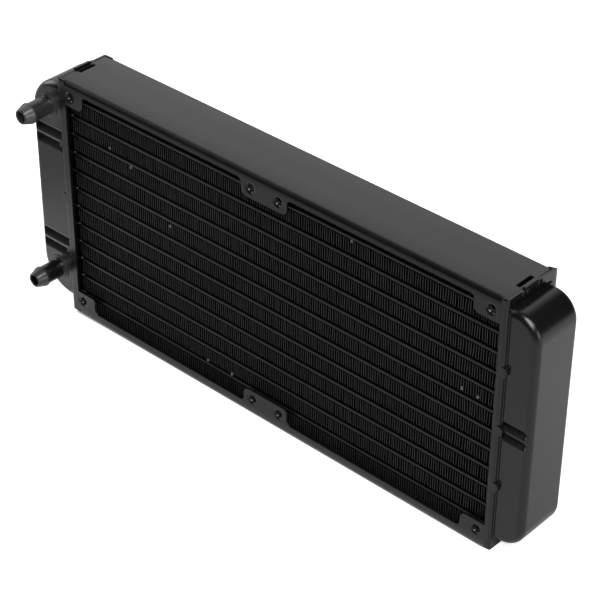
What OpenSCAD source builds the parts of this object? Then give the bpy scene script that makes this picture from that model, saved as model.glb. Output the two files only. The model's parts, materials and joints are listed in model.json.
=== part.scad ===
// Liquid cooling radiator for a row of square fans: a brazed core of flat tubes and corrugated
// fins between two slotted header plates, closed by two side plates and two drawn tanks.
// X runs along the radiator, Y from front to back and Z up. The origin is the middle of the
// underside of the bottom side plate. Sizes are in millimetres.

/* [Fans] */
// Side of one square fan
fan_size = 120; // [110:1:140]
// Number of fans side by side
fan_count = 2; // [1:1:3]
// Distance from the edge of a fan to its screw holes
hole_inset = 7.5; // [7:0.25:9]
// Bore of a tapped fan screw hole
hole_d = 3.3; // [2.5:0.1:4]
// Radius of the rounded mouth of a screw hole
hole_rim = 0.4; // [0.2:0.05:0.6]
// Wall of the drawn collar behind a screw hole
collar_wall = 0.9; // [0.6:0.1:1.2]
// Length of the drawn collar behind a screw hole
collar_l = 1.2; // [0.8:0.1:1.6]

/* [Side plates] */
// Depth from the front fan face to the back fan face
depth = 28.5; // [25:0.5:40]
// Sheet thickness of the side plates
plate_t = 1; // [0.8:0.1:1.4]
// Outside radius of the long bends
plate_bend_r = 2; // [1.5:0.1:3.6]
// Height of the narrow flange between the tabs
lip_h = 3.9; // [3.2:0.1:5]
// How far a tab reaches past its screw holes
tab_past_hole = 4.5; // [3.5:0.1:6]
// How far a corner tab runs past its screw hole towards the middle
corner_tab_past = 7.8; // [5:0.1:12]
// How far a middle tab runs past its screw holes on each side
middle_tab_past = 4.8; // [4:0.1:8]
// Radius of the free corners of a tab
tab_corner_r = 3; // [1:0.1:4]
// Radius of the hollow corner at the root of a tab
tab_root_r = 2; // [0.5:0.1:3]
// How far the side plates lie inside the square of the fans
plate_inset = 0.6; // [0.2:0.1:1.2]
// Seam between the end of a side plate and the header plate
plate_seam = 0.25; // [0.1:0.05:0.4]
// Width of the slot beside the header's locking tab
lock_slot_w = 2; // [1:0.1:3]
// Width of the strip between that slot and the seam
lock_strip = 0.9; // [0.6:0.1:1.5]

/* [Header plates] */
// Sheet thickness of the header plates
header_t = 1.2; // [0.8:0.1:1.6]
// How far a header's outer face stands out past the row of fans
header_overhang = -0.2; // [-1:0.1:1]
// How far the headers stand proud of the side plates at the top and bottom
header_lip = 0.1; // [0.05:0.05:0.6]
// Width of the left header's folded front and back rims
left_header_rim = 4.5; // [3:0.1:5]
// Width of the right header's folded front and back rims
right_header_rim = 2.9; // [2.5:0.1:5]
// Outside radius of the header bends
header_bend_r = 1.4; // [1.3:0.1:2.4]
// Radius of the header's outer corners
header_ear_r = 0.9; // [0.5:0.1:3]
// Width of the locking tab on a header's top edge
lock_tab_w = 9; // [7:0.2:12]
// How far the locking tab rises over the header's lip
lock_tab_rise = 0.8; // [0.4:0.1:1.2]
// Radius of the locking tab's corners
lock_tab_r = 0.5; // [0.2:0.1:0.8]
// Diameter of a staked lug under the locking tab
lock_lug_d = 1; // [0.6:0.1:1.4]
// Length of a lug
lock_lug_l = 2.2; // [1.5:0.1:3]
// Distance between the two lugs at an end of the locking tab
lock_lug_pitch = 2.6; // [2:0.1:3]
// Width of a crimp tab
crimp_w = 4; // [2:0.2:6]
// Thickness of a crimp tab
crimp_t = 0.85; // [0.6:0.05:0.9]
// Radius of the free corners of a crimp tab
crimp_corner_r = 1.3; // [0.5:0.1:1.5]

/* [Core] */
// Number of flat tubes
tube_count = 12; // [6:1:16]
// Thickness of a flat tube
tube_t = 2; // [1.6:0.1:3]
// Wall of a flat tube
tube_wall = 0.35; // [0.25:0.05:0.5]
// Distance of the tube noses from the fan face
tube_setback = 3.25; // [2.8:0.05:5]
// How far the tubes pass through the header plates
tube_proud = 1; // [0.5:0.1:1.2]
// Distance of the fins from the fan face
fin_setback = 3.8; // [3.4:0.1:6]
// Open length of tube between the fins and a header plate
fin_end_gap = 2.5; // [1:0.1:8]
// Length of one fin wave
fin_period = 2.4; // [2:0.1:4]
// Thickness of the fin sheet
fin_t = 0.2; // [0.1:0.02:0.24]
// Flat length of a fin crest
fin_crest = 0.95; // [0.4:0.05:1]

/* [Tanks] */
// Sheet thickness of the tanks
tank_t = 1; // [0.7:0.1:1.2]
// Reach of the left tank from its header plate
left_tank_reach = 19.9; // [18:0.1:26]
// Reach of the right tank from its header plate
right_tank_reach = 13.4; // [12:0.1:26]
// Corner radius of the left tank
left_tank_corner_r = 17; // [8:0.5:18]
// Corner radius of the right tank
right_tank_corner_r = 11; // [6:0.5:12]
// Radius of the long tank edges
tank_edge_r = 3; // [1.8:0.1:4]
// Distance of the tank faces from the fan faces
tank_setback = 1.7; // [1.6:0.1:3]
// Distance of the tank ends from the header ends
tank_end_gap = 4.9; // [3:0.1:10]
// Thickness of the tank's foot flange
foot_t = 0.6; // [0.4:0.1:1.2]
// How far the foot flange stands out from the tank wall
foot_w = 0.4; // [0.3:0.05:0.6]
// Depth of a pressed groove
groove_depth = 1.7; // [1:0.1:2]
// Width of the flat bottom of a groove
groove_floor = 0.6; // [0.3:0.1:1]
// How far the grooves run into the rounded tank edge
groove_run_out = 2; // [0:0.1:2.4]
// Distance between the two grooves of a pair
groove_pitch = 5; // [4.6:0.1:7]
// Thickness of a baffle
baffle_t = 1.2; // [0.8:0.1:1.8]

/* [Hose barbs] */
// Distance of the barbs from the left header plate
barb_reach = 9.4; // [8.6:0.1:12]
// Distance of the barbs from the ends of the left tank
barb_end_gap = 12.6; // [10:0.1:18]
// Bore of a barb
barb_bore_d = 5; // [3:0.1:5.4]
// Diameter over the barb
barb_crest_d = 9.5; // [9:0.1:10]
// How far the barb stands out from the neck that the hose grips
barb_step = 0.5; // [0.4:0.05:0.8]
// Diameter of the barb's nose
barb_nose_d = 6.6; // [6:0.1:7.4]
// Length of a barb from the tank's face
barb_l = 15; // [12.5:0.1:20]
// Length of the cylindrical land on the barb
barb_land = 0.8; // [0.5:0.1:1.5]
// Length of the barb's nose cone
barb_cone = 4.2; // [2:0.1:5]
// Diameter of the collar at the root of a barb
barb_collar_d = 10.4; // [9.8:0.1:11]
// Length of the collar
barb_collar_l = 0.4; // [0.2:0.1:1.2]
// Diameter of the raised seat on the tank
barb_seat_d = 12.2; // [11.6:0.1:13]
// Height of the raised seat
barb_seat_h = 0.4; // [0.2:0.1:1]

/* [Fits] */
// Gap that the brazing filler closes between seated pieces
braze_gap = 0.05; // [0.02:0.01:0.1]

/* [Hidden] */
$fn = 64;
BIG = 400;

frame_h = fan_size - 2 * plate_inset;
header_h = frame_h + 2 * header_lip;
mid_z = frame_h / 2;
row_l = fan_count * fan_size;
header_x = row_l / 2 + header_overhang;
header_in_x = header_x - header_t;
left_rim_x = header_x - left_header_rim - braze_gap;
right_rim_x = header_x - right_header_rim - braze_gap;

hole_pitch = fan_size - 2 * hole_inset;
hole_z = (frame_h - hole_pitch) / 2;
tab_h = hole_z + tab_past_hole;
hole_xs = [for (i = [0:fan_count - 1], s = [-1, 1]) (i + 0.5) * fan_size - row_l / 2 + s * hole_pitch / 2];
joint_xs = fan_count > 1 ? [for (i = [1:fan_count - 1]) i * fan_size - row_l / 2] : [];
middle_tab_half = hole_inset + middle_tab_past;
corner_tab_x = row_l / 2 - hole_inset - corner_tab_past;

fin_count = tube_count + 1;
fin_h = (frame_h - 2 * plate_t - tube_count * tube_t) / fin_count;
core_pitch = fin_h + tube_t;
tube_w = depth - 2 * tube_setback;
fin_w = depth - 2 * fin_setback;
fin_l = 2 * (header_in_x - fin_end_gap);

tank_w = depth - 2 * tank_setback;
tank_half = header_h / 2 - tank_end_gap;
left_corner_r = min(left_tank_corner_r, left_tank_reach - foot_t);
right_corner_r = min(right_tank_corner_r, right_tank_reach - foot_t);
// The baffles stand between two tubes: after a quarter, half and three quarters of them
quarter_z = core_pitch * round(tube_count / 4);
// Flank half width of a groove at the tank's face, and of its inner ridge at the inner face
groove_half = groove_floor / 2 + groove_depth;
ridge_floor = groove_floor + 2 * tank_t * (sqrt(2) - 1);
valley_half = groove_pitch / 2 - ridge_floor / 2 - groove_depth;
barb_z = tank_half - barb_end_gap;
barb_x = -header_x - barb_reach;
barb_neck_d = barb_crest_d - 2 * barb_step;

function two_digits(i) = str(i < 10 ? "0" : "", i);
function tube_name(i) = str("flat_tube_", two_digits(i));
function fin_name(i) = str("fin_strip_", two_digits(i));
function tube_z(i) = plate_t + i * fin_h + (i - 0.5) * tube_t;
function fin_z(i) = plate_t + (i - 0.5) * fin_h + (i - 1) * tube_t;

// Rectangle from x = 0 to l and of width w, with its two far corners rounded
module end_rounded(l, w, r) {
    translate([0, -w / 2]) square([l - r, w]);
    translate([0, r - w / 2]) square([l, w - 2 * r]);
    for (s = [-1, 1]) translate([l - r, s * (w / 2 - r)]) intersection() {
        circle(r);
        translate([0, -r]) square([r, 2 * r]);
    }
}

// Bent sheet seen end on: open at x = 0 and closed at x = l
module channel_section(l, w, r, t) {
    difference() {
        end_rounded(l, w, r);
        translate([-1, 0]) end_rounded(l - t + 1, w - 2 * t, r - t);
    }
}

// Rectangle of w by h with four rounded corners
module rounded_rect(w, h, r) {
    square([w - 2 * r, h], center = true);
    square([w, h - 2 * r], center = true);
    for (x = [-1, 1], y = [-1, 1]) translate([x * (w / 2 - r), y * (h / 2 - r)]) circle(r);
}

// Flat tube seen end on, thin along x and wide along y
module obround(w, t) {
    square([t, w - t], center = true);
    for (s = [-1, 1]) translate([0, s * (w - t) / 2]) circle(d = t);
}

// Extrudes a section along X: the section's x points down and its y points back
module along_x(l) {
    translate([-l / 2, 0, 0]) rotate([0, 90, 0]) linear_extrude(l) children();
}

// Hollow corner that fills the angle between a tab and the flange
module root_fillet() {
    difference() {
        square(tab_root_r);
        translate([tab_root_r, tab_root_r]) circle(tab_root_r);
    }
}

// Outline of a tab from x0 to x1, with its free left and right corners rounded
module tab_outline(x0, x1, left_free, right_free) {
    base = plate_bend_r;
    rl = left_free ? tab_corner_r : 0;
    rr = right_free ? tab_corner_r : 0;
    translate([x0, base]) square([x1 - x0, tab_h - tab_corner_r - base]);
    translate([x0 + rl, base]) square([x1 - x0 - rl - rr, tab_h - base]);
    if (left_free) {
        translate([x0 + rl, tab_h - rl]) circle(rl);
        translate([x0, lip_h]) mirror([1, 0]) root_fillet();
    }
    if (right_free) {
        translate([x1 - rr, tab_h - rr]) circle(rr);
        translate([x1, lip_h]) root_fillet();
    }
}

// All tabs of one flange, in the XZ plane, between the rims of the headers
module flange_tabs(left_end, right_end) {
    tab_outline(corner_tab_x, right_end, true, false);
    tab_outline(-left_end, -corner_tab_x, false, true);
    for (x = joint_xs) tab_outline(x - middle_tab_half, x + middle_tab_half, true, true);
}

// Burred and tapped screw hole along Y, opening towards -Y at the origin
module hole_collar() {
    rotate([-90, 0, 0]) cylinder(d = hole_d + 2 * collar_wall, h = plate_t + collar_l);
}

module hole_bore() {
    r = hole_d / 2;
    rotate([-90, 0, 0]) {
        translate([0, 0, -1]) cylinder(r = r, h = plate_t + collar_l + 2);
        rotate_extrude() difference() {
            square([r + hole_rim, hole_rim]);
            translate([r + hole_rim, hole_rim]) circle(hole_rim);
        }
    }
}

// Puts children at every screw hole of the front flange, and again turned round at the back
module at_screw_holes() {
    for (x = hole_xs, a = [0, 180]) rotate([0, 0, a]) translate([x, -depth / 2, hole_z]) children();
}

// Side plate with its outer face at z = 0 and its flanges upwards
module side_plate() {
    web_end = header_in_x - plate_seam;
    rim_y = depth / 2 - header_t - braze_gap;
    slot_x = web_end - lock_strip - lock_slot_w;
    difference() {
        union() {
            translate([0, 0, lip_h]) along_x(2 * web_end)
                channel_section(lip_h, depth, plate_bend_r, plate_t);
            for (y = [0, 1]) mirror([0, y, 0]) translate([0, plate_t - depth / 2, 0])
                rotate([90, 0, 0]) linear_extrude(plate_t) flange_tabs(left_rim_x, right_rim_x);
            at_screw_holes() hole_collar();
        }
        at_screw_holes() hole_bore();
        for (y = [0, 1]) mirror([0, y, 0]) {
            translate([right_rim_x, rim_y, -1]) cube([right_header_rim, header_t + 1, tab_h + 2]);
            translate([-left_rim_x - left_header_rim, rim_y, -1])
                cube([left_header_rim, header_t + 1, tab_h + 2]);
        }
        for (x = [0, 1]) mirror([x, 0, 0])
            translate([slot_x, -lock_tab_w / 2, -1]) cube([lock_slot_w, lock_tab_w, plate_t + 2]);
    }
}

// Crimp tab folded over the tank's foot, for the front edge of a header at x = 0 facing +X
module crimp_tab() {
    front = -depth / 2;
    fold_x = foot_t + braze_gap;
    intersection() {
        linear_extrude(crimp_w, center = true) {
            translate([-header_bend_r, front]) square([header_bend_r + fold_x, crimp_t]);
            translate([fold_x, front + crimp_t]) circle(crimp_t);
            translate([fold_x, front + crimp_t]) square([crimp_t, tank_setback - braze_gap - crimp_t]);
        }
        translate([-header_bend_r, 0, 0]) rotate([90, 0, 0]) linear_extrude(BIG, center = true)
            end_rounded(header_bend_r + fold_x + crimp_t, crimp_w, crimp_corner_r);
    }
}

// Raised middle of a header's top edge, with a pair of staked lugs on the outer face at each end
module lock_tab() {
    edge = header_h / 2;
    translate([0, 0, edge - lock_tab_rise]) rotate([0, -90, 0]) linear_extrude(header_t)
        end_rounded(2 * lock_tab_rise, lock_tab_w, lock_tab_r);
    for (end = [-1, 1], side = [-1, 1])
        translate([0, end * lock_tab_w / 2 + side * lock_lug_pitch / 2, edge - lock_lug_l]) {
            cylinder(d = lock_lug_d, h = lock_lug_l);
            sphere(d = lock_lug_d);
        }
}

// Header plate with its outer face at x = 0 facing +X, centred on z = 0
module header_plate(rim) {
    half = header_h / 2;
    difference() {
        intersection() {
            translate([-rim, 0, -half]) linear_extrude(header_h)
                channel_section(rim, depth, header_bend_r, header_t);
            translate([-BIG / 2, 0, 0]) rotate([0, 90, 0]) linear_extrude(BIG)
                rounded_rect(header_h, depth, header_ear_r);
        }
        for (i = [1:tube_count]) translate([0, 0, tube_z(i) - mid_z]) along_x(3 * rim)
            obround(tube_w + 2 * braze_gap, tube_t + 2 * braze_gap);
    }
    for (y = [0, 1], z = [-quarter_z, 0, quarter_z])
        mirror([0, y, 0]) translate([0, 0, z]) crimp_tab();
    lock_tab();
}

// Tank body with its mouth at x = 0 and its end wall at x = reach, centred on z = 0
module tank_shell(reach, corner_r) {
    straight = tank_half - corner_r;
    linear_extrude(2 * straight, center = true) channel_section(reach, tank_w, tank_edge_r, tank_t);
    for (z = [0, 1]) mirror([0, 0, z]) {
        translate([reach - corner_r, 0, straight]) rotate([-90, 0, 0]) rotate_extrude(angle = -90)
            channel_section(corner_r, tank_w, tank_edge_r, tank_t);
        translate([0, 0, straight]) rotate([0, -90, 180]) linear_extrude(reach - corner_r)
            channel_section(corner_r, tank_w, tank_edge_r, tank_t);
    }
}

// Foot flange round the mouth of a tank
module tank_foot() {
    translate([foot_t / 2, 0, 0]) along_x(foot_t) difference() {
        rounded_rect(2 * (tank_half + foot_w), tank_w + 2 * foot_w, tank_t + foot_w);
        square([2 * (tank_half - tank_t), tank_w - 2 * tank_t], center = true);
    }
}

// Tapered bar along X with a conical far end, sunk below the front face: a groove or its ridge
module bead(x0, x1, floor_w, sink, top) {
    half = floor_w / 2 + sink - top;
    translate([x0, 0, 0]) rotate([90, 0, 90]) linear_extrude(x1 - x0)
        polygon([[top, half], [sink, floor_w / 2], [sink, -floor_w / 2], [top, -half]]);
    translate([x1, top, 0]) rotate([-90, 0, 0])
        cylinder(r1 = half, r2 = floor_w / 2, h = sink - top);
}

// Puts children at both grooves of each pair, on the front face and turned round on the back face
module at_grooves(pair_zs) {
    for (y = [0, 1], z = pair_zs, s = [-0.5, 0.5])
        mirror([0, y, 0]) translate([0, -tank_w / 2, z + s * groove_pitch]) children();
}

// Whole tank, with its groove pairs at the heights of its baffles
module tank(reach, corner_r, pair_zs) {
    groove_end = reach - tank_edge_r - groove_half + groove_run_out;
    difference() {
        union() {
            tank_shell(reach, corner_r);
            tank_foot();
            intersection() {
                at_grooves(pair_zs)
                    bead(foot_t, groove_end, ridge_floor, groove_depth + tank_t, tank_t / 2);
                linear_extrude(2 * tank_half, center = true)
                    end_rounded(reach - tank_t / 2, tank_w - tank_t / 2, tank_edge_r - tank_t / 2);
            }
        }
        at_grooves(pair_zs) bead(foot_t, groove_end, groove_floor, groove_depth, -1);
    }
}

// Partition plate that fills a tank between the two ridges of a groove pair
module baffle(reach) {
    seat = tank_t + max(0, baffle_t / 2 - valley_half) + braze_gap;
    linear_extrude(baffle_t, center = true)
        end_rounded(reach - tank_t - braze_gap, tank_w - 2 * seat, tank_edge_r);
}

// Hose barb pointing along +Z, with its tank face at z = 0
module barb() {
    bore_r = barb_bore_d / 2;
    neck_r = barb_neck_d / 2;
    crest_r = barb_crest_d / 2;
    collar_top = barb_seat_h + barb_collar_l;
    collar_r = barb_collar_d / 2;
    land_top = barb_l - barb_cone;
    land_foot = land_top - barb_land;
    rotate_extrude() polygon([
        [bore_r, -tank_t],
        [neck_r, -tank_t],
        [neck_r, barb_seat_h],
        [collar_r, barb_seat_h],
        [collar_r, collar_top],
        [neck_r, collar_top],
        [neck_r, land_foot - barb_step],
        [crest_r, land_foot],
        [crest_r, land_top],
        [barb_nose_d / 2, barb_l],
        [bore_r, barb_l]
    ]);
}

// Puts children on the front face of the left tank, with +Z pointing out of the face
module at_port(z) {
    translate([barb_x, -tank_w / 2, mid_z + z]) rotate([90, 0, 0]) children();
}

module top_side_plate() {
    color("#26272a") translate([0, 0, frame_h]) mirror([0, 0, 1]) side_plate();
}

module bottom_side_plate() {
    color("#26272a") side_plate();
}

module right_header_plate() {
    color("#232427") translate([header_x, 0, mid_z]) header_plate(right_header_rim);
}

module left_header_plate() {
    color("#232427") translate([-header_x, 0, mid_z]) mirror([1, 0, 0])
        header_plate(left_header_rim);
}

module right_tank() {
    color("#2a2b2e") translate([header_x, 0, mid_z]) tank(right_tank_reach, right_corner_r, [0]);
}

module left_tank() {
    color("#2a2b2e") difference() {
        union() {
            translate([-header_x, 0, mid_z]) mirror([1, 0, 0])
                tank(left_tank_reach, left_corner_r, [-quarter_z, quarter_z]);
            for (z = [-barb_z, barb_z]) at_port(z)
                translate([0, 0, -tank_t]) cylinder(d = barb_seat_d, h = tank_t + barb_seat_h);
        }
        for (z = [-barb_z, barb_z]) at_port(z)
            translate([0, 0, -2 * tank_t]) cylinder(d = barb_neck_d + 2 * braze_gap, h = 5 * tank_t);
    }
}

module left_baffle(z) {
    color("#8d8f92") translate([-header_x, 0, mid_z + z]) mirror([1, 0, 0]) baffle(left_tank_reach);
}

module right_baffle() {
    color("#8d8f92") translate([header_x, 0, mid_z]) baffle(right_tank_reach);
}

module hose_barb(z) {
    color("#1f2022") at_port(z) barb();
}

module flat_tube(i) {
    color("#202124") translate([0, 0, tube_z(i)]) along_x(2 * (header_x + tube_proud)) difference() {
        obround(tube_w, tube_t);
        obround(tube_w - 2 * tube_wall, tube_t - 2 * tube_wall);
    }
}

// Section of a corrugated strip: n waves of period p, height h, sheet t and flat crests c
function fin_wave(n, p, h, t, c) =
    let (
        slant = (p / 2 - c) / (h - t),
        e = t / 2 * (sqrt(1 + slant * slant) - slant),
        top = h / 2,
        upper = [for (k = [0:n - 1]) each [
            [k * p + c - e, t - top],
            [k * p + p / 2 - e, top],
            [k * p + p / 2 + c + e, top],
            [k * p + p + e, t - top]
        ]],
        lower = [for (k = [n - 1:-1:0]) each [
            [k * p + p - e, -top],
            [k * p + p / 2 + c - e, top - t],
            [k * p + p / 2 + e, top - t],
            [k * p + c + e, -top]
        ]]
    )
    concat([[0, t - top]], upper, [[n * p + c, t - top], [n * p + c, -top]], lower, [[0, -top]]);

module fin_strip(i) {
    waves = floor((fin_l - fin_crest) / fin_period);
    wave_l = waves * fin_period + fin_crest;
    color("#141517") translate([-wave_l / 2, fin_w / 2, fin_z(i)]) rotate([90, 0, 0])
        linear_extrude(fin_w) polygon(fin_wave(waves, fin_period, fin_h, fin_t, fin_crest));
}

top_side_plate();
bottom_side_plate();
left_header_plate();
right_header_plate();
left_tank();
right_tank();
left_baffle(quarter_z);  // left_upper_baffle
left_baffle(-quarter_z);  // left_lower_baffle
right_baffle();
hose_barb(barb_z);  // inlet_barb
hose_barb(-barb_z);  // outlet_barb
for (i = [1:tube_count]) flat_tube(i);
for (i = [1:fin_count]) fin_strip(i);
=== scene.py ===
# %% [markdown]
# # A liquid cooling radiator, dressed for a studio picture
# The radiator is a brazed aluminium block: flat tubes and corrugated fins between two slotted
# plates, with a drawn tank on each end. The solids come from the CAD model, in metres, and stay
# where they are. This lesson gives them soft edges, fine detail, paint, light and a camera.

# %% Load the solids
import json
import math

import bmesh
import bpy
from mathutils import Matrix, Vector, noise


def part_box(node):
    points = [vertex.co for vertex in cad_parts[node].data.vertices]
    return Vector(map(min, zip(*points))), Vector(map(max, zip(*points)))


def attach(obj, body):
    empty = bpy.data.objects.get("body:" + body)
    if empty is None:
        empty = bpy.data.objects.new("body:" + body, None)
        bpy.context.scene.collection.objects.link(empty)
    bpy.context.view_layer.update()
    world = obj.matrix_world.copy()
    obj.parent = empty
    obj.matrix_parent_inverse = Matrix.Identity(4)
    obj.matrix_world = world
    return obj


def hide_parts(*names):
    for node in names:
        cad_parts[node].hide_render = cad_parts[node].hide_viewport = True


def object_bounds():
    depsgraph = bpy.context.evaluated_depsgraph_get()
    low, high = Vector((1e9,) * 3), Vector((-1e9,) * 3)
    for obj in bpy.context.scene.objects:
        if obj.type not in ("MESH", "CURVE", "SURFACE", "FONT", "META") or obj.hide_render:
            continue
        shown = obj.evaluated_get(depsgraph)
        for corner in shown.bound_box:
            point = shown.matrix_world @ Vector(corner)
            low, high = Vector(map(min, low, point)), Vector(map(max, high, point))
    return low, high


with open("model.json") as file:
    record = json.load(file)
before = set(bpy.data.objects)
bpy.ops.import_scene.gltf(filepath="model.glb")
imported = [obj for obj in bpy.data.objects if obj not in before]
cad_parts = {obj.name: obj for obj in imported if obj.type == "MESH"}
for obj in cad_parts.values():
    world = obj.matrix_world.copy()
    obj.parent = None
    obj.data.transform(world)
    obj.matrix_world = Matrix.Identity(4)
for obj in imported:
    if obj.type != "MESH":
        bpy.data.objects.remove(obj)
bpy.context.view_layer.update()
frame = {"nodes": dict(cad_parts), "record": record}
MM = 0.001
scene = bpy.context.scene
print("solids:", len(frame["nodes"]))

# %% [markdown]
# ## The camera
# A product picture is usually taken from a few steps away with a long lens, so that edges that are
# parallel stay nearly parallel. The camera stands to the right and above, and looks at a point a
# little above the middle of the front face.

# %% Camera
VIEW_AZIMUTH = math.radians(42.34)
VIEW_ELEVATION = math.radians(35.18)
VIEW_ROLL = math.radians(0.36)
VIEW_DISTANCE = 0.806
LENS = 122.08
AIM_RIGHT_OF_MIDDLE = 19.59 * MM
AIM_ABOVE_MIDDLE = 11.95 * MM

plate_low, plate_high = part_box("bottom_side_plate")
top_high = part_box("top_side_plate")[1]
FRONT_Y = plate_low.y
BACK_Y = plate_high.y
MIDDLE_Z = (plate_low.z + top_high.z) / 2


def camera_axes(azimuth, elevation, roll):
    """Right, up and back of a camera that looks at the object from there."""
    level = math.cos(elevation)
    back = Vector((math.sin(azimuth) * level, -math.cos(azimuth) * level, math.sin(elevation)))
    right = (-back).cross(Vector((0, 0, 1))).normalized()
    up = right.cross(-back)
    turned_right = right * math.cos(roll) + up * math.sin(roll)
    turned_up = up * math.cos(roll) - right * math.sin(roll)
    return turned_right, turned_up, back


right, up, back = camera_axes(VIEW_AZIMUTH, VIEW_ELEVATION, VIEW_ROLL)
aim = Vector((AIM_RIGHT_OF_MIDDLE, FRONT_Y, MIDDLE_Z + AIM_ABOVE_MIDDLE))
camera_data = bpy.data.cameras.new("studio_camera")
camera_data.sensor_width = 36.0
camera_data.lens = LENS
camera_data.clip_start = 0.01
camera_data.clip_end = 20.0
camera = bpy.data.objects.new("studio_camera", camera_data)
turn = Matrix((right, up, back)).transposed().to_4x4()
camera.matrix_world = Matrix.Translation(aim + back * VIEW_DISTANCE) @ turn
scene.collection.objects.link(camera)
scene.camera = camera
scene.view_settings.view_transform = "Standard"
print("camera at", [round(v, 3) for v in camera.location])

# %% [markdown]
# ## Small helpers
# Every shape below is filled into a bmesh by its own function, and every pattern is a chain of small
# nodes. A few helpers keep that short: one makes an object from a shape function, and the others
# place a math node, a smooth step, a mix of two colours, a distance and the three coordinates.

# %% Helpers for meshes and nodes
def new_object(name, mesh_maker):
    """A mesh object at the origin, whose bmesh the given function fills."""
    mesh = bpy.data.meshes.new(name)
    bm = bmesh.new()
    mesh_maker(bm)
    bm.to_mesh(mesh)
    bm.free()
    made = bpy.data.objects.new(name, mesh)
    scene.collection.objects.link(made)
    return made


def math_node(nodes, operation, *values):
    """A math node whose inputs are set from numbers or linked from sockets."""
    node = nodes.new("ShaderNodeMath")
    node.operation = operation
    for socket, value in zip(node.inputs, values):
        if isinstance(value, (int, float)):
            socket.default_value = value
        else:
            nodes.id_data.links.new(value, socket)
    return node.outputs[0]


def falloff(nodes, value, none, full, low=0.0, high=1.0):
    """Smooth step from low to high while a value goes from none to full."""
    step = nodes.new("ShaderNodeMapRange")
    step.interpolation_type = "SMOOTHSTEP"
    step.inputs["From Min"].default_value = none
    step.inputs["From Max"].default_value = full
    step.inputs["To Min"].default_value = low
    step.inputs["To Max"].default_value = high
    nodes.id_data.links.new(value, step.inputs["Value"])
    return step.outputs["Result"]


def mixed(nodes, amount, first, second):
    """Mix of two colours, each a socket or a grey tone."""
    mix = nodes.new("ShaderNodeMix")
    mix.data_type = "RGBA"
    nodes.id_data.links.new(amount, mix.inputs[0])
    for socket, value in ((mix.inputs[6], first), (mix.inputs[7], second)):
        if isinstance(value, float):
            socket.default_value = (value, value, value, 1)
        else:
            nodes.id_data.links.new(value, socket)
    return mix.outputs[2]


def distance_node(nodes, place, point):
    """Distance of the shaded place from a fixed point."""
    away = nodes.new("ShaderNodeVectorMath")
    away.operation = "DISTANCE"
    away.inputs[1].default_value = point
    nodes.id_data.links.new(place, away.inputs[0])
    return away.outputs["Value"]


def xyz_node(nodes, place):
    """The three coordinates of the shaded place, as sockets."""
    parts = nodes.new("ShaderNodeSeparateXYZ")
    nodes.id_data.links.new(place, parts.inputs[0])
    return parts.outputs


print("helpers ready")

# %% [markdown]
# ## The white table
# The radiator stands on a white table that runs on into a white wall. The table takes the shadow,
# and a little glow, seen only by the camera, lifts the paper to clean white as a printer would. None
# of that glow reaches the paint as light. What black paint mirrors of the table is set apart from
# what the camera sees of it, by the kind of ray: in reflections the table's colour carries painted
# light, lighter near the radiator and darker far away. A soft shadow is painted along the front foot.

# %% Table
FLOOR_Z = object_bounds()[0].z
FLOOR_SIZE = 40.0
TABLE_TONE = 0.8
TABLE_GLOW = 0.75
MIRRORED_GLOW_FRONT = 0.05
MIRRORED_GLOW_BACK = 0.33
GLOW_BEHIND = 0.1
MIRRORED_PAINTED_LIGHT_FAR = 0.1
MIRRORED_PAINTED_LIGHT_FRONT = 0.47
MIRRORED_PAINTED_LIGHT_NEAR = 0.58
FAR_FLOOR = (-0.5, -0.12)
NEAR_FLOOR = (-0.14, -0.02)
POOL_MIDDLE = (-0.16, -0.03, FLOOR_Z)
POOL_EDGES = (0.075, 0.03)
POOL_GLOW = 0.42
SHADOW_TONE = 0.25
SHADOW_REACH = 3.2 * MM
SHADOW_BEHIND = (-6 * MM, -4 * MM)
SHADOW_UNDER = -1 * MM
SHADOW_END = 0.118
SHADOW_SIDES = (SHADOW_END + 2 * MM, SHADOW_END - 3 * MM)
SHADOW_NARROWER = (1.4, 12.0)


def table_top(bm):
    """A wide square at the height of the radiator's feet."""
    bmesh.ops.create_grid(bm, x_segments=1, y_segments=1, size=FLOOR_SIZE / 2)
    bmesh.ops.translate(bm, vec=(0, 0, FLOOR_Z), verts=bm.verts)


def foot_shadow(nodes, place):
    """Soft shadow along the front foot, where the bend leaves a gap; it narrows to the right."""
    ahead = math_node(nodes, "SUBTRACT", FRONT_Y, place["Y"])
    narrower = falloff(nodes, place["X"], -SHADOW_END, 0.0, *SHADOW_NARROWER)
    close = falloff(nodes, math_node(nodes, "MULTIPLY", ahead, narrower), SHADOW_REACH, SHADOW_UNDER)
    in_front = falloff(nodes, ahead, *SHADOW_BEHIND)
    beside = falloff(nodes, math_node(nodes, "ABSOLUTE", place["X"]), *SHADOW_SIDES)
    return math_node(nodes, "MULTIPLY", math_node(nodes, "MULTIPLY", close, in_front), beside)


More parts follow.
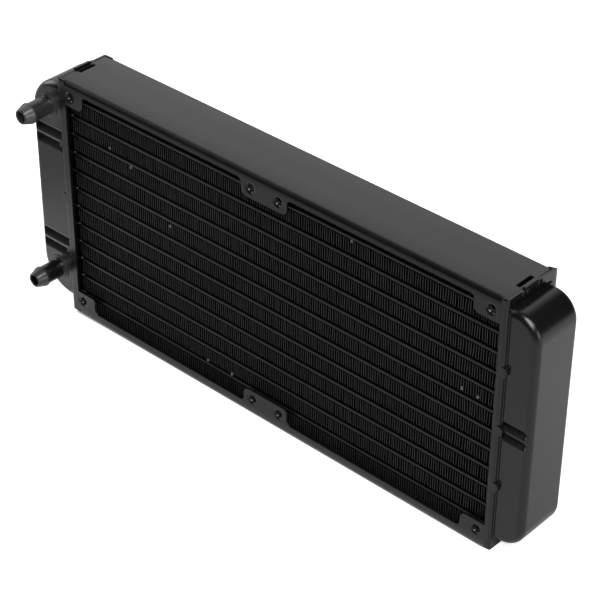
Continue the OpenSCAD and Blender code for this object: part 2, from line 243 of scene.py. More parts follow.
def table_material():
    """White table: it takes the shadow and shows as white to the camera; in reflections its colour
    carries painted light.
    """
    material = bpy.data.materials.new("white_table")
    material.use_nodes = True
    nodes, links = material.node_tree.nodes, material.node_tree.links
    shader = nodes["Principled BSDF"]
    shader.inputs["Roughness"].default_value = 1.0
    shader.inputs["Specular IOR Level"].default_value = 0.0
    shader.inputs["Emission Color"].default_value = (1, 1, 1, 1)
    path = nodes.new("ShaderNodeLightPath").outputs
    coordinates = nodes.new("ShaderNodeTexCoord").outputs["Object"]
    place = xyz_node(nodes, coordinates)
    behind = falloff(nodes, place["Y"], FRONT_Y, BACK_Y + GLOW_BEHIND,
                     MIRRORED_GLOW_FRONT, MIRRORED_GLOW_BACK)
    pool = falloff(nodes, distance_node(nodes, coordinates, POOL_MIDDLE), *POOL_EDGES, 0.0, POOL_GLOW)
    glow = math_node(nodes, "MULTIPLY", path["Is Glossy Ray"], math_node(nodes, "ADD", behind, pool))
    # Painted light: in reflections the table is painted lighter near the radiator and darker far away.
    far = falloff(nodes, place["Y"], *FAR_FLOOR, MIRRORED_PAINTED_LIGHT_FAR, MIRRORED_PAINTED_LIGHT_FRONT)
    near = falloff(nodes, place["Y"], *NEAR_FLOOR, 0.0, MIRRORED_PAINTED_LIGHT_NEAR - MIRRORED_PAINTED_LIGHT_FRONT)
    tone = mixed(nodes, path["Is Glossy Ray"], TABLE_TONE, math_node(nodes, "ADD", far, near))
    shadow = foot_shadow(nodes, place)
    open_glow = falloff(nodes, shadow, 1.0, 0.0, 0.0, TABLE_GLOW)
    for ray in ("Is Camera Ray", "Is Transmission Ray"):
        glow = math_node(nodes, "MULTIPLY_ADD", path[ray], open_glow, glow)
    links.new(glow, shader.inputs["Emission Strength"])
    links.new(mixed(nodes, shadow, tone, SHADOW_TONE), shader.inputs["Base Color"])
    return material


floor = new_object("table", table_top)
floor.data.materials.append(table_material())
print("table at", round(FLOOR_Z, 4))

# %% [markdown]
# ## Light for black paint
# Black paint shows mostly what it mirrors, so the shape of the light matters more than its strength.
# A soft box above the camera draws the bright arc on the tank's corner. The white wall behind is
# mirrored by the top plate and a paler ceiling by the start of its bends. Four small panels, on the
# left, overhead, right and in front, glint on barbs and rounded edges. The rest of the room is dark.

# %% Lamps and world
BACKDROP = {"towards": (-0.58, 0.62, 0.52), "full": 10, "none": 42, "light": 0.77}
CEILING = {"towards": (-0.6, 0.3, 0.74), "full": 5, "none": 44, "light": 0.4}
LEFT_PANEL = {"towards": (-0.92, -0.14, 0.35), "full": 8, "none": 25, "light": 3.5}
TOP_PANEL = {"towards": (0.6, -0.02, 0.8), "full": 4, "none": 15, "light": 2.6}
RIGHT_PANEL = {"towards": (0.98, -0.05, 0.15), "full": 6, "none": 18, "light": 3.5}
FRONT_PANEL = {"towards": (0.5, -0.72, 0.48), "full": 3, "none": 12, "light": 3.0}
ROOM_LIGHT = 0.02
KEY_PLACE = (0.54, -0.5, 1.0)
KEY_SIZE = 0.7
KEY_WATTS = 13.5


def soft_box(name, place, aim_at, size, watts):
    """Large square lamp that faces a point."""
    data = bpy.data.lights.new(name, "AREA")
    data.shape = "RECTANGLE"
    data.size = size
    data.size_y = size
    data.energy = watts
    lamp = bpy.data.objects.new(name, data)
    lamp.location = place
    lamp.rotation_mode = "QUATERNION"
    lamp.rotation_quaternion = (Vector(aim_at) - Vector(place)).to_track_quat("-Z", "Y")
    scene.collection.objects.link(lamp)
    return lamp


def glow_towards(nodes, direction, towards, full, none, light):
    """Round patch of light in the room, given by its direction and two angles in degrees."""
    facing = nodes.new("ShaderNodeVectorMath")
    facing.operation = "DOT_PRODUCT"
    facing.inputs[1].default_value = Vector(towards).normalized()
    nodes.id_data.links.new(direction, facing.inputs[0])
    edges = [math.cos(math.radians(angle)) for angle in (none, full)]
    return falloff(nodes, facing.outputs["Value"], *edges, 0.0, light)


def studio_world():
    """Dark room with a white backdrop behind the radiator, a pale ceiling and four panels."""
    world = bpy.data.worlds.new("studio_room")
    world.use_nodes = True
    nodes = world.node_tree.nodes
    direction = nodes.new("ShaderNodeTexCoord").outputs["Generated"]
    light = ROOM_LIGHT
    for patch in (BACKDROP, CEILING, LEFT_PANEL, TOP_PANEL, RIGHT_PANEL, FRONT_PANEL):
        light = math_node(nodes, "ADD", glow_towards(nodes, direction, **patch), light)
    world.node_tree.links.new(light, nodes["Background"].inputs["Color"])
    return world


soft_box("key_box", KEY_PLACE, (0, 0, MIDDLE_Z), KEY_SIZE, KEY_WATTS)
scene.world = studio_world()

# %% [markdown]
# ## Screw holes with drawn mouths
# The fan screws go into holes whose rims were pushed inwards by the punch, so that more thread fits
# in thin sheet. The solids have a narrow mouth there. Each ring of its vertices is scaled outwards
# and moved inwards, which keeps the round section and makes the mouth wider and deeper.

# %% Drawn mouths
MERGE_DISTANCE = 0.002 * MM
HOLE_RADIUS = 1.65 * MM
MOUTH_DRAWN = 0.4 * MM
MOUTH_WIDER = 3.6
MOUTH_EDGE = HOLE_RADIUS + 1.1 * MOUTH_DRAWN


def screw_holes():
    """Mouth and outward direction of each fan screw hole, from the record's bolt patterns."""
    for mount in frame["record"]["mounts"]:
        if mount["kind"] == "bolt_pattern":
            half = mount["dims"]["spacing_x_mm"] * MM / 2
            for x in (-half, half):
                for z in (-half, half):
                    yield Vector(mount["pos_m"]) + Vector((x, 0, z)), Vector(mount["axis"])


def widen_mouths(bm):
    """Draws the round mouth of each screw hole wider and deeper, ring by ring."""
    deepest = MOUTH_DRAWN + MERGE_DISTANCE
    for mouth, out in screw_holes():
        rings = {}
        for vert in bm.verts:
            depth = (mouth - vert.co).dot(out)
            away = (vert.co - mouth + out * depth).length
            if -MERGE_DISTANCE < depth < deepest and away < MOUTH_EDGE:
                rings.setdefault(round(depth / MERGE_DISTANCE), []).append((vert, depth, away))
        for ring in rings.values():
            depth, away = ring[0][1:]
            wider = (HOLE_RADIUS + (away - HOLE_RADIUS) * MOUTH_WIDER) / away
            verts = [entry[0] for entry in ring]
            bmesh.ops.scale(bm, vec=(wider, 1, wider), space=Matrix.Translation(-mouth), verts=verts)
            bmesh.ops.translate(bm, vec=-out * depth * (MOUTH_WIDER - 1), verts=verts)


print("screw holes:", len(list(screw_holes())))

# %% [markdown]
# ## Taller grooves and a back ear
# A pair of grooves is pressed across a tank in front of each baffle and holds it for brazing. On the
# left tank they run a little taller than in the solid, so they are pulled down from their upper lip.
# The right header's upper back corner stands out behind the side plate as a small ear. Two cuts with
# bisect_plane keep the pull above the hidden part of the edge.

# %% Grooves and ear
TANK_FACE_Y = FRONT_Y + 1.7 * MM
GROOVE_WALL = 3.2 * MM
PAIR_HALF = 4.5 * MM
PAIR_TALLER = 1.18
PAIR_FOOT = 1.2 * PAIR_HALF
END_FACES = (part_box("left_tank")[1].x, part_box("right_tank")[0].x)
EAR_START = 12 * MM
EAR_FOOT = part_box("right_tank")[1].z - 8 * MM
EAR_RISE = 2 * MM
EAR_SHEET = 1.3 * MM
EAR_REACH = 2.2 * MM
EAR_FALL = 1.0 * MM
EAR_ROUND = 3 * MM


def groove_pairs(tank):
    """Height of the middle of each groove pair of a tank, which is that of the baffle behind it."""
    side = tank.split("_")[0]
    return [sum(corner.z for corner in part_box(node)) / 2 for node in frame["nodes"]
            if node.startswith(side) and node.endswith("baffle")]


def stretch_grooves(bm, tank):
    """Pulls the groove pairs of a tank taller, downwards from their upper lip."""
    for middle in groove_pairs(tank):
        lip = middle + PAIR_HALF
        for vert in bm.verts:
            in_pair = middle - PAIR_FOOT < vert.co.z < lip
            if in_pair and vert.co.y < TANK_FACE_Y + GROOVE_WALL:
                vert.co.z = lip - (lip - vert.co.z) * PAIR_TALLER


def back_ear(bm):
    """Pulls the upper back corner of the right header out into an ear behind the side plate."""
    for height in (EAR_FOOT, EAR_FOOT + EAR_RISE):
        everything = bm.verts[:] + bm.edges[:] + bm.faces[:]
        bmesh.ops.bisect_plane(bm, geom=everything, dist=MERGE_DISTANCE,
                               plane_co=(0, 0, height), plane_no=(0, 0, 1))
    top = max(vert.co.z for vert in bm.verts if vert.co.y > EAR_START)
    for vert in bm.verts:
        along = (vert.co.y - EAR_START) / (BACK_Y - EAR_START)
        rise = min((vert.co.z - EAR_FOOT) / EAR_RISE, 1)
        if along > 0 and rise > 0 and vert.co.x > END_FACES[1] - EAR_SHEET:
            fall = max(vert.co.z - top + EAR_ROUND, 0) / EAR_ROUND
            vert.co += Vector((0, EAR_REACH * rise, -EAR_FALL * fall)) * along


print("groove pairs:", [len(groove_pairs(tank)) for tank in ("left_tank", "right_tank")])

# %% [markdown]
# ## Pressed sheets with soft edges
# The side plates, header plates and tanks are stamped and folded from sheet, and paint rounds every
# edge a little more. A perfectly sharp edge never catches the light, so a copy of each solid gets its
# sharp edges rounded. The press rolls the outer edges of the sheet over further than the inner ones,
# so these are rounded first. The rounded faces are marked: there the paint wears thin, and a paler
# tone paints in the highlight they catch.

# %% Soft edges
SHARP_EDGE = math.radians(30)
FLAT_ENOUGH = math.radians(1)
EDGE_STEPS = 3
ROLLED_EDGE = {"side_plate": 0.88 * MM, "header_plate": 0.7 * MM}


def sharp_edges(bm):
    """The edges where two faces meet at an angle."""
    return [e for e in bm.edges if e.is_manifold and e.calc_face_angle() > SHARP_EDGE]


def lies_on(edge, axis, level):
    """Whether both ends of an edge lie on a plane across an axis."""
    return all(abs(v.co[axis] - level) < MERGE_DISTANCE for v in edge.verts)


def rolled_edges(bm, node):
    """The sharp edges of the front, back and outer end faces, where the press rolls the sheet over."""
    planes = [(1, corner.y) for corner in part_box(node)] + [(0, x) for x in END_FACES]
    return [e for e in sharp_edges(bm) if any(lies_on(e, *plane) for plane in planes)]


def round_edges(bm, mark, edges, radius):
    """Rounds the given edges and marks the new faces."""
    made = bmesh.ops.bevel(bm, geom=edges, offset=radius, segments=EDGE_STEPS, profile=0.5,
                           affect="EDGES", material=-1, clamp_overlap=True)
    for face in made["faces"]:
        face[mark] = 1.0


def shade_smooth(bm):
    """Lets the light run smoothly over every face."""
    for face in bm.faces:
        face.smooth = True


print("outer end faces at", [round(x, 4) for x in END_FACES])

# %% [markdown]
# ## The softened pieces
# Each sheet, barb and tube is copied from its solid, cleaned of doubled points and flat edges, and
# rounded by its own radius: drawn sheet has softer edges than a tube end. The copy is shown in place
# of the solid, and rides on the same body. Weighted normals keep the flat faces flat in the light.

# %% Softened pieces
EDGE_RADIUS = {"side_plate": 0.06 * MM, "header_plate": 0.2 * MM, "tank": 0.15 * MM,
               "barb": 0.25 * MM, "tube": 0.05 * MM}


def keep_piece(piece, slot, *nodes):
    """The piece moves with the radiator and stands for the given solids. The slot is not used."""
    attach(piece, "root")
    if nodes:
        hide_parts(*nodes)
    return piece


def softened(node, edge_radius, slot):
    """Copy of a solid with its sharp edges rounded, and the rounded faces marked as edges."""

    def fill(bm):
        bm.from_mesh(frame["nodes"][node].data)
        bmesh.ops.remove_doubles(bm, verts=bm.verts, dist=MERGE_DISTANCE)
        if slot == "side_plate":
            widen_mouths(bm)
        if node == "left_tank":
            stretch_grooves(bm, node)
        bmesh.ops.dissolve_limit(bm, angle_limit=FLAT_ENOUGH, verts=bm.verts, edges=bm.edges)
        mark = bm.faces.layers.float.new("edge")
        if slot in ROLLED_EDGE:
            round_edges(bm, mark, rolled_edges(bm, node), ROLLED_EDGE[slot])
        round_edges(bm, mark, sharp_edges(bm), edge_radius)
        if node == "right_header_plate":
            back_ear(bm)
        shade_smooth(bm)

    piece = new_object("soft_" + node, fill)
    piece.modifiers.new("even_shading", "WEIGHTED_NORMAL").keep_sharp = True
    return keep_piece(piece, slot, node)


tubes = sorted(name for name in frame["nodes"] if name.startswith("flat_tube"))
soft_nodes = {
    "side_plate": ["top_side_plate", "bottom_side_plate"],
    "header_plate": ["left_header_plate", "right_header_plate"],
    "tank": ["left_tank", "right_tank"],
    "barb": ["inlet_barb", "outlet_barb"],
    "tube": tubes,
}
pieces = {}
for slot, names in soft_nodes.items():
    pieces[slot] = [softened(node, EDGE_RADIUS[slot], slot) for node in names]
    print(slot, [len(p.data.polygons) for p in pieces[slot]])

# %% [markdown]
# ## Corrugated fins
# Each fin strip is a ribbon of thin foil folded into a wave by a pair of toothed rollers. The folds
# are round, and no two are quite alike. One wave is drawn with two half circles and two straight
# walls, repeated along the strip, nudged a little by a fixed noise and pulled back into depth.

# %% Fins
FIN_PERIOD = 2.4 * MM
FIN_FOIL = 0.18 * MM
FIN_FOLD_STEPS = 6
FIN_UNEVEN = 0.4 * MM
FIN_UNEVEN_SCALE = 420.0
FIN_UNEVEN_UPRIGHT = 0.35
FIN_UNEVEN_STEP = 7.3 * MM
FIN_SPLIT = math.radians(50)


def one_wave(bm, radius, height):
    """Path of one wave from the foot of a wall: up, over the top fold, down, round the bottom fold."""
    last = bm.verts.new((0, 0, radius))
    top_fold = Vector((radius, 0, height - radius))
    bottom_fold = Vector((3 * radius, 0, radius))
    for centre, way in ((top_fold, 1), (bottom_fold, -1)):
        top = bmesh.ops.extrude_vert_indiv(bm, verts=[last])["verts"][0]
        top.co.z = centre.z
        spun = bmesh.ops.spin(bm, geom=[top], cent=centre, axis=(0, way, 0), angle=math.pi,
                              steps=FIN_FOLD_STEPS, use_merge=False)
        last = spun["geom_last"][0]


def verts_of(geom):
    """The vertices among the parts that an operator gives back."""
    return [v for v in geom if isinstance(v, bmesh.types.BMVert)]


def fin_wave_strip(node, index):
    """Folded foil in the space of a fin solid."""
    low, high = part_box(node)
    radius = FIN_PERIOD / 4
    height = high.z - low.z - FIN_FOIL
    count = int((high.x - low.x) / FIN_PERIOD)
    first_x = (low.x + high.x - count * FIN_PERIOD) / 2

    def fill(bm):
        one_wave(bm, radius, height)
        wave = bm.verts[:] + bm.edges[:]
        for i in range(1, count):
            copy = bmesh.ops.duplicate(bm, geom=wave)["geom"]
            bmesh.ops.translate(bm, vec=(i * FIN_PERIOD, 0, 0), verts=verts_of(copy))
        bmesh.ops.remove_doubles(bm, verts=bm.verts, dist=MERGE_DISTANCE)
        bmesh.ops.translate(bm, vec=(first_x, low.y, low.z + FIN_FOIL / 2), verts=bm.verts)
        for vert in bm.verts:
            place = Vector((vert.co.x, vert.co.z * FIN_UNEVEN_UPRIGHT, index * FIN_UNEVEN_STEP))
            vert.co.x += FIN_UNEVEN * noise.noise(place * FIN_UNEVEN_SCALE)
        pulled = bmesh.ops.extrude_edge_only(bm, edges=bm.edges[:])["geom"]
        bmesh.ops.translate(bm, vec=(0, high.y - low.y, 0), verts=verts_of(pulled))
        shade_smooth(bm)

    piece = new_object("foil_" + node, fill)
    sheet = piece.modifiers.new("foil", "SOLIDIFY")
    sheet.thickness = FIN_FOIL
    sheet.offset = 0.0
    sheet.material_offset_rim = 1
    piece.modifiers.new("cut_edge", "EDGE_SPLIT").split_angle = FIN_SPLIT
    return keep_piece(piece, "fin", node)


fin_nodes = sorted(name for name in frame["nodes"] if name.startswith("fin_strip"))
pieces["fin"] = [fin_wave_strip(node, i) for i, node in enumerate(fin_nodes)]
print("fins", len(pieces["fin"]), "faces each", len(pieces["fin"][0].data.polygons))

# %% [markdown]
# ## Bent fin tips
# Foil this thin bends at a touch. A few tips have been pushed over and face the lamp. A much paler
# paint than the fins', a painted glint, makes them show as bright flecks in the dark core. Each is a
# small sheet, curled by turning row after row.

# %% Bent fin tips
TIP_WIDTH = 0.9 * MM
TIP_LENGTH = 1.5 * MM
TIP_SHORTER = 0.12
TIP_CURL = math.radians(16)
TIP_TURN = math.radians(44)
TIP_LEAN = math.radians(-42)
BENT_TIPS = ((99.0, 7.6), (42.7, 48.6), (-92.7, 34.4), (-80.2, 30.2), (-57.7, 10.7),
             (-37.1, -48.8), (-22.8, -48.8), (106.7, 7.4))


def bent_tips(bm):
    """Small curled sheets at the fronts of a few fins."""
    fin_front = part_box(fin_nodes[0])[0].y
    curl = Matrix.Rotation(TIP_CURL, 3, "X")
    stand = Matrix.Rotation(math.pi / 2, 3, "X")
    face_lamp = Matrix.Rotation(TIP_TURN, 3, "Z") @ Matrix.Rotation(TIP_LEAN, 3, "X")
    for i, (x, z) in enumerate(BENT_TIPS):
        tip = bmesh.ops.create_grid(bm, x_segments=2, y_segments=4, size=0.5)["verts"]
        bmesh.ops.scale(bm, vec=(TIP_WIDTH, TIP_LENGTH * (1 - TIP_SHORTER * (i % 3)), 1), verts=tip)
        rows = sorted({round(v.co.y, 7) for v in tip})
        for row in rows[1:]:
            beyond = [v for v in tip if v.co.y > row - MERGE_DISTANCE]
            bmesh.ops.rotate(bm, cent=(0, row, 0), matrix=curl, verts=beyond)
        bmesh.ops.rotate(bm, cent=(0, 0, 0), matrix=face_lamp @ stand, verts=tip)
        bmesh.ops.translate(bm, vec=(x * MM, fin_front, MIDDLE_Z + z * MM), verts=tip)
    shade_smooth(bm)


tips = new_object("bent_fin_tips", bent_tips)
tips.modifiers.new("foil", "SOLIDIFY").thickness = FIN_FOIL / 2
pieces["bent_tip"] = [keep_piece(tips, "fin")]
print("bent tips", len(BENT_TIPS))

# %% [markdown]
# ## Threads in the screw holes
# The fan screws bite into threads that a tap has cut in each drawn hole. One ridge is a small
# two-faced profile, turned about the hole's axis while it moves inwards by the pitch in each turn.

# %% Screw threads
THREAD_PITCH = 0.7 * MM
THREAD_HEIGHT = 0.22 * MM
THREAD_HALF = 0.26 * MM
THREAD_START = 1.55 * MM
THREAD_SUNK = 1.03
THREAD_TURNS = 1
THREAD_STEPS = 20


def thread_ridges(bm):
    """One turn of thread near the mouth of every screw hole."""
    outer = Vector((HOLE_RADIUS * THREAD_SUNK, 0, 0))
    crest = Vector((HOLE_RADIUS - THREAD_HEIGHT, 0, 0))
    for mouth, out in screw_holes():
        foot = mouth - out * THREAD_START
        steps = ((outer, THREAD_HALF), (crest, 0), (outer, -THREAD_HALF))
        profile = [bm.verts.new(foot + across + out * along) for across, along in steps]
        edges = [bm.edges.new(pair) for pair in zip(profile, profile[1:])]
        bmesh.ops.spin(bm, geom=profile + edges, cent=foot, axis=(0, 1, 0),
                       dvec=-out * THREAD_PITCH / THREAD_STEPS, angle=2 * math.pi * THREAD_TURNS,
                       steps=THREAD_TURNS * THREAD_STEPS, use_merge=False)
    bmesh.ops.recalc_face_normals(bm, faces=bm.faces)


threads = new_object("screw_threads", thread_ridges)
pieces["thread"] = [keep_piece(threads, "side_plate")]
print("thread faces", len(threads.data.polygons))

# %% [markdown]
# ## Brazed joints
# The radiator is clamped together and goes through a furnace, where a thin skin of filler metal
# melts and runs into every joint. It leaves a hollow fillet round the root of each hose barb and
# small beads where the tubes enter the header plates. The beads take a pale paint, a painted glint.

# %% Brazed joints
NECK_RADIUS = 4.25 * MM
COLLAR_TOP = 0.8 * MM
FILLET = 0.5 * MM
FILLET_STEPS = 4
RING_STEPS = 48
BEAD_RADIUS = 0.3 * MM
BEAD_SHAPE = (1.3, 0.8, 1)
BEAD_UNEVEN = 0.7
BEAD_BEHIND_NOSE = 0.2 * MM
BEAD_ABOVE = 0.7 * MM
port_places = [Vector(m["pos_m"]) for m in frame["record"]["mounts"] if m["kind"] == "bore"]


def barb_fillets(bm):
    """Hollow ring of filler round the root of each barb."""
    for port in port_places:
        root = Vector((port.x, TANK_FACE_Y - COLLAR_TOP, port.z))
        start = bm.verts.new(root + Vector((NECK_RADIUS, -FILLET, 0)))
        bmesh.ops.spin(bm, geom=[start], cent=root + Vector((NECK_RADIUS + FILLET, -FILLET, 0)),
                       axis=(0, 0, 1), angle=-math.pi / 2, steps=FILLET_STEPS, use_merge=False)
        line = [e for e in bm.edges if e.is_wire]
        ends = list({v for e in line for v in e.verts})
        bmesh.ops.spin(bm, geom=ends + line, cent=root, axis=(0, 1, 0), angle=2 * math.pi,
                       steps=RING_STEPS, use_merge=True)
    bmesh.ops.recalc_face_normals(bm, faces=bm.faces)
    shade_smooth(bm)


def tube_beads(bm):
    """Uneven beads of filler where the tubes meet the rims of the header plates."""
    left_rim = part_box("left_header_plate")[1].x
    right_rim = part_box("right_header_plate")[0].x
    for i, node in enumerate(tubes):
        low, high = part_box(node)
        for side, rim in ((1, left_rim), (-1, right_rim)):
            size = BEAD_RADIUS * (1 + BEAD_UNEVEN * noise.noise(Vector((i * 1.7, side * 3.1, 0.4))))
            bead = bmesh.ops.create_icosphere(bm, subdivisions=2, radius=size)["verts"]
            bmesh.ops.scale(bm, vec=BEAD_SHAPE, verts=bead)
            height = (low.z + high.z) / 2 + BEAD_ABOVE
            place = Vector((rim + side * size, low.y + BEAD_BEHIND_NOSE, height))
            bmesh.ops.translate(bm, vec=place, verts=bead)
    shade_smooth(bm)


pieces["fillet"] = [keep_piece(new_object("barb_fillets", barb_fillets), "barb")]
pieces["bead"] = [keep_piece(new_object("tube_beads", tube_beads), "tube")]
print("fillets and beads:", [len(pieces[k][0].data.polygons) for k in ("fillet", "bead")])

# %% [markdown]
# ## What the paint has in common
# The whole block is dipped or sprayed after brazing, so the same skin lies on every piece. Close up
# it has a fine orange peel, its gloss drifts in soft clouds, and dust has settled on it. On folded
# edges the paint draws thin, and a painted highlight lies there too. Node groups hold these effects,
# so that all the paints share them.

# %% Paint skin and thin edges
CLOUD_SCALE = 38.0
PEEL_SCALE = 1500.0
PEEL_HEIGHT = 0.009 * MM
DUST_SCALE = 430.0
DUST_SIZE = 0.045
DUST_PATCHES = (0.5, 0.7)
PATCH_SCALE = 260.0
WEAR_AND_HIGHLIGHT_PATCHES = (0.35, 0.65, 0.25, 1.0)


def new_group(name, **outputs):
    """Empty shader group with the given outputs, its coordinates and its output node."""
    group = bpy.data.node_groups.new(name, "ShaderNodeTree")
    for socket, kind in outputs.items():
        group.interface.new_socket(name=socket, in_out="OUTPUT", socket_type="NodeSocket" + kind)
    place = group.nodes.new("ShaderNodeTexCoord").outputs["Object"]
    return group, place, group.nodes.new("NodeGroupOutput").inputs


def noise_node(nodes, place, scale, detail):
    """Soft clouds from 0 to 1."""
    texture = nodes.new("ShaderNodeTexNoise")
    texture.inputs["Scale"].default_value = scale
    texture.inputs["Detail"].default_value = detail
    nodes.id_data.links.new(place, texture.inputs["Vector"])
    return texture.outputs["Fac"]


def bump_node(nodes, height, distance):
    """Normal of a surface that rises with a height."""
    bump = nodes.new("ShaderNodeBump")
    bump.inputs["Strength"].default_value = 1.0
    bump.inputs["Distance"].default_value = distance
    nodes.id_data.links.new(height, bump.inputs["Height"])
    return bump.outputs["Normal"]


def satin_skin():
    """Clouds of gloss, specks of dust and the orange peel of sprayed paint."""
    group, place, out = new_group("satin_skin", Cloud="Float", Dust="Float", Normal="Vector")
    nodes, links = group.nodes, group.links
    links.new(noise_node(nodes, place, CLOUD_SCALE, 3.0), out["Cloud"])
    specks = nodes.new("ShaderNodeTexVoronoi")
    specks.inputs["Scale"].default_value = DUST_SCALE
    links.new(place, specks.inputs["Vector"])
    speck = falloff(nodes, specks.outputs["Distance"], DUST_SIZE, DUST_SIZE / 2)
    patches = falloff(nodes, noise_node(nodes, place, CLOUD_SCALE * 2, 2.0), *DUST_PATCHES)
    links.new(math_node(nodes, "MULTIPLY", speck, patches), out["Dust"])
    links.new(bump_node(nodes, noise_node(nodes, place, PEEL_SCALE, 2.0), PEEL_HEIGHT), out["Normal"])
    return group


def thin_and_lit_edges():
    """Where the paint has drawn thin and a highlight is painted: on the faces marked as edges, in
    patches.
    """
    group, place, out = new_group("thin_and_lit_edges", Wear="Float")
    nodes = group.nodes
    mark = nodes.new("ShaderNodeAttribute")
    mark.attribute_name = "edge"
    patches = falloff(nodes, noise_node(nodes, place, PATCH_SCALE, 3.0), *WEAR_AND_HIGHLIGHT_PATCHES)
    group.links.new(math_node(nodes, "MULTIPLY", mark.outputs["Fac"], patches), out["Wear"])
    return group


SKIN, EDGES = satin_skin(), thin_and_lit_edges()
print("groups:", SKIN.name, EDGES.name)

# %% [markdown]
# ## Inside the core
# The fin walls are cut by rows of slits, called louvres, that stir the air. They are far too fine to
# model for a picture of the whole radiator, so a wave across the depth draws them. Shade is painted
# deeper inside the core and in the narrow corners between tubes and fins; masks mark these from the
# depth and from the tubes' spacing.

# %% Louvres and corners
LOUVRE_PITCH = 1.1 * MM
LOUVRE_HEIGHT = 0.12 * MM
SLIT_EDGES = (0.2, 0.9)
FIN_SHADE_DEPTHS = (0.1 * MM, 0.35 * MM)
TUBE_NOSE = (0.5 * MM, 0.75 * MM)
CORNER_REACH = {"Corner": (2.8 * MM, 1.6 * MM), "Foot": (1.8 * MM, 1.1 * MM)}


def louvre_lines():
    """Slits that are punched across the fin walls, and a mask for painted shade deeper inside the
    core.
    """
    group, place, out = new_group("louvre_lines", Slit="Float", Inside="Float", Normal="Vector")
    nodes, links = group.nodes, group.links
    depth_place = xyz_node(nodes, place)["Y"]
    turns = math_node(nodes, "MULTIPLY", depth_place, 2 * math.pi / LOUVRE_PITCH)
    slit = falloff(nodes, math_node(nodes, "SINE", turns), *SLIT_EDGES)
    links.new(slit, out["Slit"])
    from_middle = math_node(nodes, "ABSOLUTE", depth_place)
    depth = math_node(nodes, "SUBTRACT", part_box(fin_nodes[0])[1].y, from_middle)
    links.new(falloff(nodes, depth, *FIN_SHADE_DEPTHS), out["Inside"])
    links.new(bump_node(nodes, slit, LOUVRE_HEIGHT), out["Normal"])
    return group


def core_corners():
    """Masks for painted shade in the narrow corners between tubes and fins, and at their feet."""
    group, place, out = new_group("core_corners", Corner="Float", Foot="Float")
    nodes = group.nodes
    first, second = (sum(corner.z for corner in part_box(node)) / 2 for node in tubes[:2])
    above = math_node(nodes, "SUBTRACT", xyz_node(nodes, place)["Z"], first)
    from_tube = math_node(nodes, "PINGPONG", above, (second - first) / 2)
    off_nose = falloff(nodes, from_tube, *TUBE_NOSE)
    for name, reach in CORNER_REACH.items():
        near = falloff(nodes, from_tube, *reach)
        group.links.new(math_node(nodes, "MULTIPLY", off_nose, near), out[name])
    return group


LOUVRES, CORNERS = louvre_lines(), core_corners()
print("groups:", LOUVRES.name, CORNERS.name)

# %% [markdown]
# ## On the tanks and plates
# The pressed grooves are painted dark and dull, as painted shade, and a painted highlight runs along
# the lips of the left tank's grooves. Round each port the tank is painted paler in blotches, painted
# light that lightens the tank next to each barb. The side plates don't start to bend at once: they
# fall away slowly before the tight bend, and a slow height, turned into a bump, lets the reflections
# bend as early as that.

# %% Grooves, haze and bends
GROOVE_STARTS = (0.15 * MM, 0.5 * MM)
GROOVE_FADES = (2.8 * MM, 1.8 * MM)
GROOVE_SOFT = 0.4 * MM
PAIR_MARGIN = 0.5 * MM
GROOVE_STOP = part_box("right_tank")[1].x - 3.6 * MM
LIP_TOP = 4.65 * MM
LIP_MIDDLE = -1.0 * MM
LIP_WIDTH = (0.5 * MM, 0.2 * MM)
LIP_DEPTH = (1.0 * MM, 0.4 * MM)
PORT_LIGHT_REACH = 14 * MM
PORT_LIGHT_BLOTCHES = (0.2, 0.8, 0.7, 1.0)
BENDS_AT = (("Y", 0.0, BACK_Y, 10 * MM, 0.9 * MM),
            ("Z", MIDDLE_Z, MIDDLE_Z, 4 * MM, 0.6 * MM))


def pressed_grooves():
    """The tanks' pressed grooves, in pairs before each baffle, and painted highlight lines on the lips
    of the left tank's.
    """
    group, place, out = new_group("pressed_grooves", Groove="Float", Lip="Float")
    nodes = group.nodes
    parts = xyz_node(nodes, place)
    behind = math_node(nodes, "SUBTRACT", parts["Y"], TANK_FACE_Y)
    deep = math_node(nodes, "MULTIPLY", falloff(nodes, behind, *GROOVE_STARTS),
                     falloff(nodes, behind, *GROOVE_FADES))
    on_left = math_node(nodes, "LESS_THAN", parts["X"], 0.0)
    on_right = math_node(nodes, "MULTIPLY", math_node(nodes, "GREATER_THAN", parts["X"], 0.0),
                         falloff(nodes, parts["X"], GROOVE_STOP, GROOVE_STOP - GROOVE_SOFT))
    grooves, lip_highlights = 0.0, 0.0
    for tank, on_tank, taller, heights in (("left_tank", on_left, PAIR_TALLER, (LIP_TOP, LIP_MIDDLE)),
                                           ("right_tank", on_right, 1.0, ())):
        reach = PAIR_HALF * taller + PAIR_MARGIN
        for middle in groove_pairs(tank):
            above = math_node(nodes, "SUBTRACT", parts["Z"], middle)
            from_middle = math_node(nodes, "ADD", above, PAIR_HALF * (taller - 1))
            off_middle = math_node(nodes, "ABSOLUTE", from_middle)
            pair = falloff(nodes, off_middle, reach, reach - GROOVE_SOFT)
            grooves = math_node(nodes, "MULTIPLY_ADD", pair, on_tank, grooves)
            # Painted highlight: a thin pale line along the upper lip and the middle of each left
            # groove pair.
            for height in heights:
                off = math_node(nodes, "ABSOLUTE", math_node(nodes, "SUBTRACT", above, height))
                line = falloff(nodes, off, *LIP_WIDTH)
                lip_highlights = math_node(nodes, "MULTIPLY_ADD", line, on_tank, lip_highlights)
    group.links.new(math_node(nodes, "MULTIPLY", deep, grooves), out["Groove"])
    front = falloff(nodes, behind, *LIP_DEPTH)
    group.links.new(math_node(nodes, "MULTIPLY", front, lip_highlights), out["Lip"])
    return group


